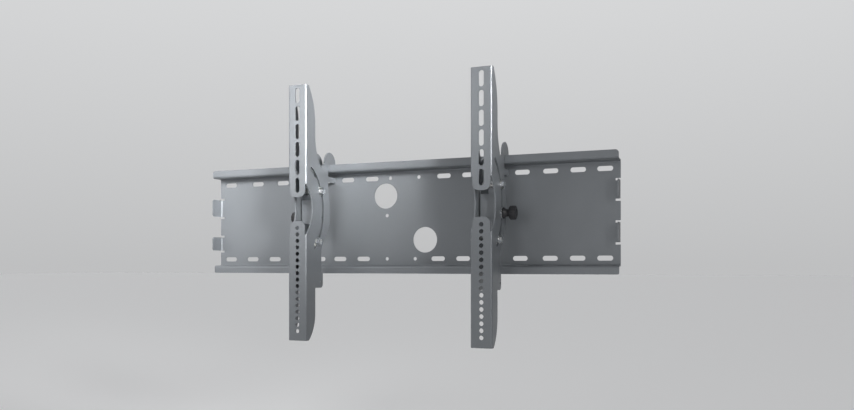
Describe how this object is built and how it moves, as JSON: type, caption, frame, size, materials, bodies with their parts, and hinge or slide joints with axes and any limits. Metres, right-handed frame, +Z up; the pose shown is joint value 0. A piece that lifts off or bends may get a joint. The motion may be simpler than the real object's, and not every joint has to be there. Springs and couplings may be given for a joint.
{
  "type": "tilting television wall bracket",
  "caption": "Slotted wall plate with folded rails, and upright arms that hook on, slide along it and tilt on curved slots under clamp knobs, to hold a flat television.",
  "frame": {"origin": "the middle of the wall plate's back face", "axes": "+X along the wall, +Y into the wall, +Z up"},
  "size_m": [0.85, 0.125, 0.486],
  "materials": {
    "silver_coat": "satin powder coat",
    "zinc": "bright zinc plate",
    "white_nylon": "plain moulded",
    "black_plastic": "fine grain"
  },
  "bodies": {
    "rail": {"wall_plate": "silver_coat"},
    "left_bracket": {"left_hook_bracket": "silver_coat", "left_upper_guide_bolt": "zinc", "left_lower_guide_bolt": "zinc", "left_upper_lock_nut": "zinc", "left_lower_lock_nut": "zinc", "left_flat_washers": "zinc", "left_sliding_discs": "white_nylon", "left_upper_spacer_sleeve": "zinc", "left_lower_spacer_sleeve": "zinc", "left_weld_nut": "silver_coat"},
    "left_arm": {"left_tv_arm": "silver_coat"},
    "left_knob": {"left_tilt_knob": "black_plastic", "left_knob_stud": "zinc"},
    "right_bracket": {"right_hook_bracket": "silver_coat", "right_upper_guide_bolt": "zinc", "right_lower_guide_bolt": "zinc", "right_upper_lock_nut": "zinc", "right_lower_lock_nut": "zinc", "right_flat_washers": "zinc", "right_sliding_discs": "white_nylon", "right_upper_spacer_sleeve": "zinc", "right_lower_spacer_sleeve": "zinc", "right_weld_nut": "silver_coat"},
    "right_arm": {"right_tv_arm": "silver_coat"},
    "right_knob": {"right_tilt_knob": "black_plastic", "right_knob_stud": "zinc"}
  },
  "joints": [
    {"name": "left_bracket_slide", "type": "slide", "parent": "rail", "child": "left_bracket", "axis": [1, 0, 0], "range_m": [-0.238, 0.118]},
    {"name": "left_arm_tilt", "type": "hinge", "parent": "left_bracket", "child": "left_arm", "pos_m": [-0.1595, -0.152, 0.013], "axis": [1, 0, 0], "range_deg": [-20, 8]},
    {"name": "left_knob_turn", "type": "hinge", "parent": "left_bracket", "child": "left_knob", "pos_m": [-0.1595, -0.0618, 0.00096], "axis": [-1, 0, 0], "range_deg": [0, 720]},
    {"name": "right_bracket_slide", "type": "slide", "parent": "rail", "child": "right_bracket", "axis": [1, 0, 0], "range_m": [-0.163, 0.193]},
    {"name": "right_arm_tilt", "type": "hinge", "parent": "right_bracket", "child": "right_arm", "pos_m": [0.205, -0.152, 0.013], "axis": [1, 0, 0], "range_deg": [-20, 8]},
    {"name": "right_knob_turn", "type": "hinge", "parent": "right_bracket", "child": "right_knob", "pos_m": [0.205, -0.0618, 0.00096], "axis": [1, 0, 0], "range_deg": [0, 720]}
  ]
}
